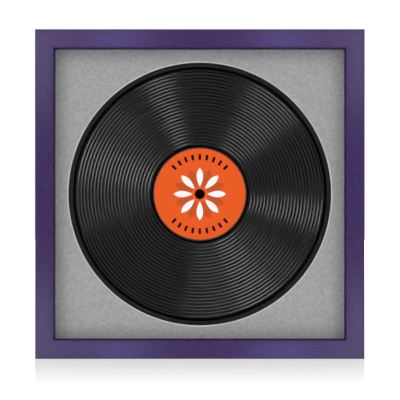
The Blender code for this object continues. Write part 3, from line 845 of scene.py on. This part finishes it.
def button_mesh(name, settings):
    """A stamped turn button at its pivot, its tip towards the window."""
    pivot = PIVOTS[f"button_{name}"]
    low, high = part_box(f"turn_button_{name}")
    offset = CENTRE - pivot
    inward = Vector((copysign(1, offset.x), 0, 0))
    if name.startswith(("bottom", "top")):
        inward = Vector((0, 0, copysign(1, offset.z)))
    half = settings.button_width / 2
    reach = max(high.x - low.x, high.z - low.z) - half
    outline = arc((0, 0), half, pi, pi, 16)
    outline += arc((0, reach - half), half, 0, pi, 16)
    hole = circle(settings.shank_diameter / 2 + CLEARANCE, 28)
    mesh = plate(name, [outline, hole], settings.button_thickness, rounding=0.0003)
    place = Vector((pivot.x, (low.y + high.y) / 2, pivot.z))
    return clean(mesh, placed(place, inward.cross(OUT), OUT))


def screw_blank(settings):
    """A pan-head screw along Z with a tapered cross recess, its head's seat at the origin."""
    head, shank = settings.head_diameter / 2, settings.shank_diameter / 2
    height, edge, point = settings.head_height, 0.0001, 0.002
    rim, sag = height * 0.35, height * 0.495
    outline = [(0, height)]
    outline += [(head * share, height - sag * (1 - sqrt(1 - share ** 2)))
                for share in (0.3, 0.5, 0.65, 0.78, 0.88, 0.95)]
    outline += [(head, rim), (head, edge), (head - edge, 0), (shank, 0),
                (shank, point - settings.shank_length), (0, -settings.shank_length)]
    blank = link("screw", turned("screw", outline, segments=40, closed=False))
    reach, width, depth, taper = head * 0.55, head * 0.14, height * 0.6, 0.35
    recess = bpy.data.meshes.new("recess")
    bm = bmesh.new()
    for turn in (0, RIGHT_ANGLE):
        arm = bmesh.ops.create_cone(bm, cap_ends=True, segments=4, radius1=taper, radius2=1,
                                    depth=2 * depth)["verts"]
        bmesh.ops.rotate(bm, verts=arm, matrix=Matrix.Rotation(RIGHT_ANGLE / 2, 3, "Z"))
        bmesh.ops.scale(bm, verts=arm, vec=(reach * sqrt(2), width * sqrt(2), 1))
        bmesh.ops.rotate(bm, verts=arm, matrix=Matrix.Rotation(turn, 3, "Z"))
    bm.to_mesh(recess)
    bm.free()
    cutter = link("recess", recess)
    cutter.location.z = height
    return clean(cut(blank, cutter, crossed=True))


def screws_mesh(nodes, settings, material, seed):
    """One mesh with a screw at each node's place, facing the back."""
    seats = [(middle(node).x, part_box(node)[1].y - settings.head_height, middle(node).z)
             for node in nodes]
    points = bpy.data.meshes.new("seats")
    points.from_pydata(seats, [], [])
    fastener = link("fastener", screw_blank(settings))
    mesh = run_tree(fastening_tree(), link("seats", points), {
        "Fastener": fastener, "Facing": TO_BACK.to_euler(), "Spin": settings.spin,
        "Seed": seed, "Material": material})
    bpy.data.objects.remove(fastener, do_unlink=True)
    return clean(mesh)


def hanger_place(name):
    """A hanger's own axes: X into the frame, Y along the rail, Z out of the back."""
    pivot = PIVOTS[f"ring_{name}"]
    return placed(pivot, Vector((-copysign(1, pivot.x), 0, 0)), OUT)


def strap_mesh(name, settings):
    """A strap of sheet steel, rolled into an eye round the ring's straight side."""
    inner = settings.wire_diameter / 2 + CLEARANCE
    outer = inner + settings.strap_thickness
    low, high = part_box(f"hanger_strap_{name}")
    run = high.x - low.x - outer
    screw_run = abs(middle(f"hanger_screw_{name}").x - PIVOTS[f"ring_{name}"].x)
    corner, steps, curl = settings.strap_width / 3, 6, radians(292)
    end = [corner * (1 - cos(RIGHT_ANGLE * step / steps)) - run for step in range(steps + 1)]
    outline = [(x, -outer) for x in end]
    outline += arc((0, 0), outer, -RIGHT_ANGLE, curl, 36)
    outline += reversed(arc((0, 0), inner, -RIGHT_ANGLE, curl, 36))
    outline += [(x, -inner) for x in reversed(end)]
    mesh = plate(name, [outline], settings.strap_width, rounding=0.00015, steps=1)
    straight = settings.strap_width / 2 - corner
    for vertex in mesh.vertices:
        past = corner - run - vertex.co.x
        if past > 0:
            limit = straight + sqrt(max(corner ** 2 - past ** 2, 0))
            vertex.co.z = copysign(min(abs(vertex.co.z), limit), vertex.co.z)
    hole = circle(settings.shank_diameter / 2 + CLEARANCE, 32)
    drill = link("drill", plate("drill", [hole], 4 * settings.strap_thickness))
    drill.matrix_world = Matrix.Translation((-screw_run, -(inner + outer) / 2, 0)) @ TO_BACK
    return clean(cut(link(name, mesh), drill), hanger_place(name) @ TO_FRONT)


def ring_mesh(name, settings):
    """A D-ring of round wire, its straight side in the strap's eye."""
    low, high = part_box(f"hanger_ring_{name}")
    wire = settings.wire_diameter / 2
    half = (high.z - low.z) / 2 - wire
    reach = high.x - low.x - 2 * wire
    corner = 0.002
    path = arc((corner, half - corner), corner, 2 * RIGHT_ANGLE, -RIGHT_ANGLE, 8)
    path += arc((reach - half, 0), half, RIGHT_ANGLE, -2 * RIGHT_ANGLE, 40)
    path += arc((corner, corner - half), corner, -RIGHT_ANGLE, -RIGHT_ANGLE, 8)
    curve = closed_curve(name, "3D", [path], rounding=wire, steps=5)
    return clean(plain_mesh(link(name, curve)), hanger_place(name))


def bumper_mesh(name):
    """A stuck-on bumper with a domed face and a soft foot."""
    node = f"wall_bumper_{name}"
    low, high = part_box(node)
    base, height = (high.x - low.x) / 2, high.y - low.y
    dome, flank, foot, soft = base * 0.72, (base * 0.985, height * 0.28), 0.0004, 0.0003
    outline = [(0, height)]
    outline += [(base * sin(way), height - dome * (1 - cos(way)))
                for way in (radians(degrees) for degrees in range(10, 80, 10))]
    outline += [flank, (base, foot), (base - soft, 0), (0, 0)]
    place = Matrix.Translation((middle(node).x, low.y, middle(node).z)) @ TO_BACK
    return turned(name, outline, segments=48, place=place, closed=False)


class RECORDFRAME_OT_rails(bpy.types.Operator):
    """Make the four lacquered rails"""
    bl_idname = "record_frame.rails"
    bl_label = "Rails"

    def execute(self, context):
        settings = context.scene.record_frame_rails
        for side in SIDES:
            along = 0 if side in ("bottom", "top") else 2
            lacquer = lacquer_finish(f"purple satin lacquer, {side} rail", settings.lacquer,
                                     settings.grain_width, along, specular=0.4)
            # The bevel next to the glazing gets a darker, less glossy lacquer: its darker colour
            # is painted shade.
            edge = lacquer_finish(f"sight edge with painted shade, {side} rail", settings.sight_edge_shade,
                                  settings.grain_width, along, specular=0.15)
            add_piece(f"lacquered_rail_{side}", rail_mesh(side, along, settings),
                      [lacquer, edge], [f"rail_{side}"])
        return {"FINISHED"}


class RECORDFRAME_OT_glazing(bpy.types.Operator):
    """Finish the clear sheet in the rails' rabbet"""
    bl_idname = "record_frame.glazing"
    bl_label = "Glazing"

    def execute(self, context):
        finish_node("glazing", acrylic_finish())
        return {"FINISHED"}


class RECORDFRAME_OT_window_mat(bpy.types.Operator):
    """Make the window mat with its white cut edge"""
    bl_idname = "record_frame.window_mat"
    bl_label = "Window mat"

    def execute(self, context):
        settings = context.scene.record_frame_mat
        finishes = [mat_finish(settings.board, settings.tooth), core_finish(settings.core)]
        add_piece("cut_window_mat", mat_mesh(settings), finishes, ["window_mat"])
        return {"FINISHED"}


class RECORDFRAME_OT_record(bpy.types.Operator):
    """Turn the record with its bands of grooves"""
    bl_idname = "record_frame.record"
    bl_label = "Record"

    def execute(self, context):
        settings = context.scene.record_frame_record
        # The last finish's lighter grey is a painted highlight on the raised ring round the label.
        finishes = [land_finish("pressed vinyl", settings.land),
                    groove_finish(settings.groove), dark_band_finish(settings.dark),
                    land_finish("vinyl of the raised ring with a painted highlight", settings.lip)]
        add_piece("grooved_record", record_mesh(settings), finishes, ["record"])
        return {"FINISHED"}


class RECORDFRAME_OT_labels(bpy.types.Operator):
    """Make both labels and the print on the front one"""
    bl_idname = "record_frame.labels"
    bl_label = "Labels"

    def execute(self, context):
        settings = context.scene.record_frame_label
        for side, tone, paper in (("front", "orange", settings.paper),
                                  ("back", "black", settings.back_paper)):
            add_piece(f"paper_label_{side}", label_mesh(f"label_{side}", settings),
                      [paper_finish(f"{tone} label paper", paper)],
                      [f"label_{side}"])
        white = ink_finish("white ink", settings.light_ink)
        black = ink_finish("black ink", settings.dark_ink)
        shade = ink_finish("dark orange ink", settings.shade)
        petals = settings.petals, settings.petal_start
        petal = leaf(settings.petal_length, settings.petal_width)
        shade_petal = leaf(settings.petal_length, settings.shade_width)
        step = tau / settings.petals
        marks = settings.marks, settings.mark_radius
        mark = rectangle(settings.mark_width, settings.mark_length)
        spacing = settings.mark_spacing
        first = -spacing * (settings.marks - 1) / 2
        # Outline, settings, copies and their radius, first angle, step, films and ink
        prints = {
            "rosette": (petal, settings, *petals, 0, step, 2, white),
            "rosette_shade": (shade_petal, settings, *petals, step / 2, step, 1, shade),
            "marks_upper": (mark, settings, *marks, first, spacing, 1, black),
            "marks_lower": (mark, settings, *marks, first + pi, spacing, 1, black),
        }
        for name, values in prints.items():
            add_piece(f"label_{name}", repeated(name, *values), [values[-1]])
        hole, rim, half_ink = settings.hole / 2, settings.centre_ring / 2, settings.ink / 2
        ring = [(hole, half_ink), (rim, half_ink), (rim, -half_ink), (hole, -half_ink)]
        add_piece("label_centre_ring",
                  turned("centre_ring", ring, 64, to_front(LABEL_FACE - half_ink)), [black])
        return {"FINISHED"}


class RECORDFRAME_OT_boards(bpy.types.Operator):
    """Finish the spacer, the filler and the backing board"""
    bl_idname = "record_frame.boards"
    bl_label = "Boards"

    def execute(self, context):
        settings = context.scene.record_frame_boards
        foam = board_finish(settings.foam_board)
        finish_node("spacer_board", foam)
        finish_node("filler_board", foam)
        finish_node("backing_board", hardboard_finish(settings.hardboard, settings.weave))
        return {"FINISHED"}


class RECORDFRAME_OT_hardware(bpy.types.Operator):
    """Make the screws, turn buttons and bumpers, and finish the V-nails"""
    bl_idname = "record_frame.hardware"
    bl_label = "Hardware"

    def execute(self, context):
        settings = context.scene.record_frame_hardware
        nail_steel = steel_finish("drawn spring steel", settings.spring, roughness=0.425,
                                  ripple=0.075, scratch=0.0006)
        for node in frame["nodes"]:
            if node.startswith("v_nail_"):
                finish_node(node, nail_steel)
        zinc = steel_finish("zinc-plated steel", settings.zinc, roughness=0.31, ripple=0.07,
                            scratch=0.0004)
        for name in BUTTONS:
            add_piece(f"stamped_turn_button_{name}", button_mesh(name, settings), [zinc],
                      [f"turn_button_{name}"], f"button_{name}")
        nodes = [f"button_screw_{name}" for name in BUTTONS]
        add_piece("button_screws", screws_mesh(nodes, settings, zinc, seed=3), [zinc],
                  nodes)
        rubber = rubber_finish(settings.rubber)
        for name in HANGERS:
            add_piece(f"domed_bumper_{name}", bumper_mesh(name), [rubber],
                      [f"wall_bumper_{name}"])
        return {"FINISHED"}


class RECORDFRAME_OT_hangers(bpy.types.Operator):
    """Make both hangers: strap, D-ring and screw"""
    bl_idname = "record_frame.hangers"
    bl_label = "Hangers"

    def execute(self, context):
        settings = context.scene.record_frame_hardware
        zinc = steel_finish("zinc-plated hanger steel", settings.zinc, roughness=0.33,
                            ripple=0.07, scratch=0.0004)
        for name in HANGERS:
            add_piece(f"rolled_strap_{name}", strap_mesh(name, settings), [zinc],
                      [f"hanger_strap_{name}"])
            add_piece(f"wire_ring_{name}", ring_mesh(name, settings), [zinc],
                      [f"hanger_ring_{name}"], f"ring_{name}")
        nodes = [f"hanger_screw_{name}" for name in HANGERS]
        add_piece("hanger_screws", screws_mesh(nodes, settings, zinc, seed=5), [zinc],
                  nodes)
        return {"FINISHED"}


def add_lamp(name, place, size, radiance, pieces, for_gloss=True):
    """A rectangular lamp that lights some pieces alone, either their gloss or their colour."""
    data = bpy.data.lights.new(name, "AREA")
    data.shape = "RECTANGLE"
    data.size, data.size_y = size
    data.energy = radiance * size[0] * size[1] * WATTS_PER_RADIANCE
    lamp = link(name, data)
    lamp.matrix_world = place
    lamp.visible_camera = False
    lamp.visible_diffuse = not for_gloss
    lamp.visible_glossy = for_gloss
    lit = bpy.data.collections.new(name)
    for piece in pieces:
        lit.objects.link(piece)
    lamp.light_linking.receiver_collection = lit
    return data


def add_softboxes(settings, pieces):
    """Soft lamps in a ring in front of the frame that shine on its centre.

    They only add gloss, so that colours render as written, and leave out the glazing.
    """
    for name, (azimuth, width, share) in SOFTBOXES.items():
        way = radians(azimuth)
        radial = Vector((cos(way), 0, sin(way)))
        tangent = Vector((-sin(way), 0, cos(way)))
        away = radial * sin(settings.lamp_angle) - OUT * cos(settings.lamp_angle)
        place = placed(CENTRE + away * settings.lamp_distance, tangent, away)
        add_lamp(name, place, (width, SOFTBOX_HEIGHT), settings.lamp_radiance * share, pieces)


def add_rail_softboxes(settings):
    """Lamps close in front that only the rails mirror, the same in each quarter."""
    rails = [bpy.data.objects[f"lacquered_rail_{side}"] for side in SIDES]
    reach = FRAME_HALF * (1 + settings.rail_lamp_distance / settings.distance)
    for side in (-1, 1):
        for level in (-1, 1):
            for span, rise, radiance, tone in RAIL_SOFTBOXES:
                place = Vector((side * reach * sum(span) / 2,
                                FRONT - settings.rail_lamp_distance,
                                level * reach * sum(rise) / 2 + CENTRE.z))
                size = reach * (span[1] - span[0]), reach * (rise[1] - rise[0])
                data = add_lamp("rail softbox", Matrix.Translation(place) @ TO_FRONT, size,
                                radiance, rails)
                data.color = tone


def add_backlight(settings, floor):
    """A long strip high behind the frame, and two small lamps lower down beside it.

    The strip's span of heights draws the shadow out in front of the frame and its lean
    makes it fade evenly. The small lamps light all of the floor except what lies between
    the lines from the frame's ends to the camera, so the shadow ends upright in the picture.
    """
    distance, across = settings.backlight_distance, Vector((-1, 0, 0))
    lean, lowest, highest = radians(20), radians(35.6), radians(80.6)
    start, stop = (distance * tan(height - lean) for height in (lowest, highest))
    away = Vector((0, cos(lean), sin(lean)))
    place = placed(away * distance + away.cross(across) * (start + stop) / 2, across, away)
    add_lamp("backlight", place, (settings.backlight_width, stop - start),
             settings.backlight, [floor], for_gloss=False)
    height, aside = radians(44), atan(FRAME_HALF / settings.distance)
    size = settings.side_light_size, settings.side_light_size
    for side in (-1, 1):
        turn = Matrix.Rotation(-side * aside, 3, "Z")
        away = turn @ Vector((0, cos(height), sin(height)))
        end = Vector((side * FRAME_HALF, FRONT, 0))
        add_lamp("side light", placed(end + away * distance, turn @ across, away), size,
                 settings.side_light, [floor], for_gloss=False)


def between(tree, forward, first, last, low, high):
    """A value that goes from low to high between two angles, in degrees, off straight ahead."""
    return add_node(tree, "ShaderNodeMapRange",
                    {"interpolation_type": "SMOOTHSTEP", "Value": forward,
                     "From Min": -cos(radians(first)),
                     "From Max": -cos(radians(last)), "To Min": low, "To Max": high})


def add_world():
    """White all round, brightest in a wide ring ahead; gloss sees dark straight ahead."""
    world = bpy.data.worlds.new("white studio")
    bpy.context.scene.world = world
    world.use_nodes = True
    world.cycles.sampling_method = "NONE"
    tree = world.node_tree
    tree.nodes.clear()
    way = add_node(tree, "ShaderNodeTexCoord").outputs["Generated"]
    axes = add_node(tree, "ShaderNodeSeparateXYZ", {"Vector": way}).outputs
    ahead = between(tree, axes["Y"], 72, 95, 0.0, 1.0)
    below = add_node(tree, "ShaderNodeMapRange",
                     {"From Min": -0.3, "From Max": 0.1, "To Min": 0.45, "To Max": 1.0,
                      "Value": axes["Z"]})
    mirrored = add_node(tree, "ShaderNodeMath", {"operation": "MULTIPLY", 0: ahead, 1: below})
    ring = between(tree, axes["Y"], 48, 54, 0.0, 2.9)
    for first, last, share in ((70, 74, 0.7), (80, 96, 0.68)):
        fall = between(tree, axes["Y"], first, last, 1.0, share)
        ring = add_node(tree, "ShaderNodeMath", {"operation": "MULTIPLY", 0: ring, 1: fall})
    path = add_node(tree, "ShaderNodeLightPath").outputs
    lit = add_node(tree, "ShaderNodeMix",
                   {"data_type": "FLOAT", 0: path["Is Diffuse Ray"], 2: 1.0, 3: ring})
    strength = add_node(tree, "ShaderNodeMix",
                        {"data_type": "FLOAT", 0: path["Is Glossy Ray"], 2: lit, 3: mirrored})
    glow = add_node(tree, "ShaderNodeBackground", {"Color": WHITE, "Strength": strength})
    add_node(tree, "ShaderNodeOutputWorld", {"Surface": glow})


def add_floor(settings):
    """A pale floor that renders white in the open and keeps the frame's soft shadow."""
    mesh = bpy.data.meshes.new("floor")
    corners = rectangle(2 * FLOOR_HALF, 2 * FLOOR_HALF)
    mesh.from_pydata([(x, y, 0) for x, y in corners], [], [(0, 1, 2, 3)])
    mesh.materials.append(new_finish("pale studio floor", settings.floor, 1.0, specular=0.0, more={
        "Emission Color": WHITE, "Emission Strength": settings.floor_glow}))
    floor = link("floor", mesh)
    floor.visible_glossy = False
    floor.visible_diffuse = False
    floor.visible_shadow = False
    return floor


def add_camera(settings):
    """The camera, straight in front of the frame."""
    data = bpy.data.cameras.new("camera")
    data.lens = data.sensor_width * settings.distance / settings.view_width
    camera = link("camera", data)
    place = CENTRE + Vector((settings.camera_side, FRONT - settings.distance,
                             -settings.camera_drop))
    camera.matrix_world = Matrix.Translation(place) @ TO_FRONT
    bpy.context.scene.camera = camera


class RECORDFRAME_OT_stage(bpy.types.Operator):
    """Add the floor, the lamps, the white surroundings and the camera"""
    bl_idname = "record_frame.stage"
    bl_label = "Stage"

    def execute(self, context):
        settings = context.scene.record_frame_studio
        context.scene.view_settings.view_transform = "Standard"
        behind_glazing = [thing for thing in context.scene.objects
                          if thing.type == "MESH" and thing != frame["nodes"]["glazing"]]
        add_world()
        add_backlight(settings, add_floor(settings))
        add_softboxes(settings, behind_glazing)
        add_rail_softboxes(settings)
        add_camera(settings)
        return {"FINISHED"}


OPERATORS = (
    RECORDFRAME_OT_rails, RECORDFRAME_OT_glazing, RECORDFRAME_OT_window_mat,
    RECORDFRAME_OT_record, RECORDFRAME_OT_labels, RECORDFRAME_OT_boards,
    RECORDFRAME_OT_hardware, RECORDFRAME_OT_hangers, RECORDFRAME_OT_stage,
)


class RECORDFRAME_PT_panel(bpy.types.Panel):
    """Lists the pieces of the framed record"""
    bl_label = "Record Frame"
    bl_idname = "RECORDFRAME_PT_panel"
    bl_space_type = "VIEW_3D"
    bl_region_type = "UI"
    bl_category = "Record Frame"

    def draw(self, context):
        for operator in OPERATORS:
            self.layout.operator(operator.bl_idname)


def register():
    for name, group in SETTINGS.items():
        bpy.utils.register_class(group)
        setattr(bpy.types.Scene, name, PointerProperty(type=group))
    for operator in OPERATORS:
        bpy.utils.register_class(operator)
    bpy.utils.register_class(RECORDFRAME_PT_panel)


def unregister():
    bpy.utils.unregister_class(RECORDFRAME_PT_panel)
    for operator in reversed(OPERATORS):
        bpy.utils.unregister_class(operator)
    for name, group in SETTINGS.items():
        delattr(bpy.types.Scene, name)
        bpy.utils.unregister_class(group)


def main():
    """Register the add-on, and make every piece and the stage."""
    register()
    for operator in OPERATORS:
        name = operator.bl_idname.split(".")[1]
        getattr(bpy.ops.record_frame, name)()


if __name__ == "__main__":
    main()
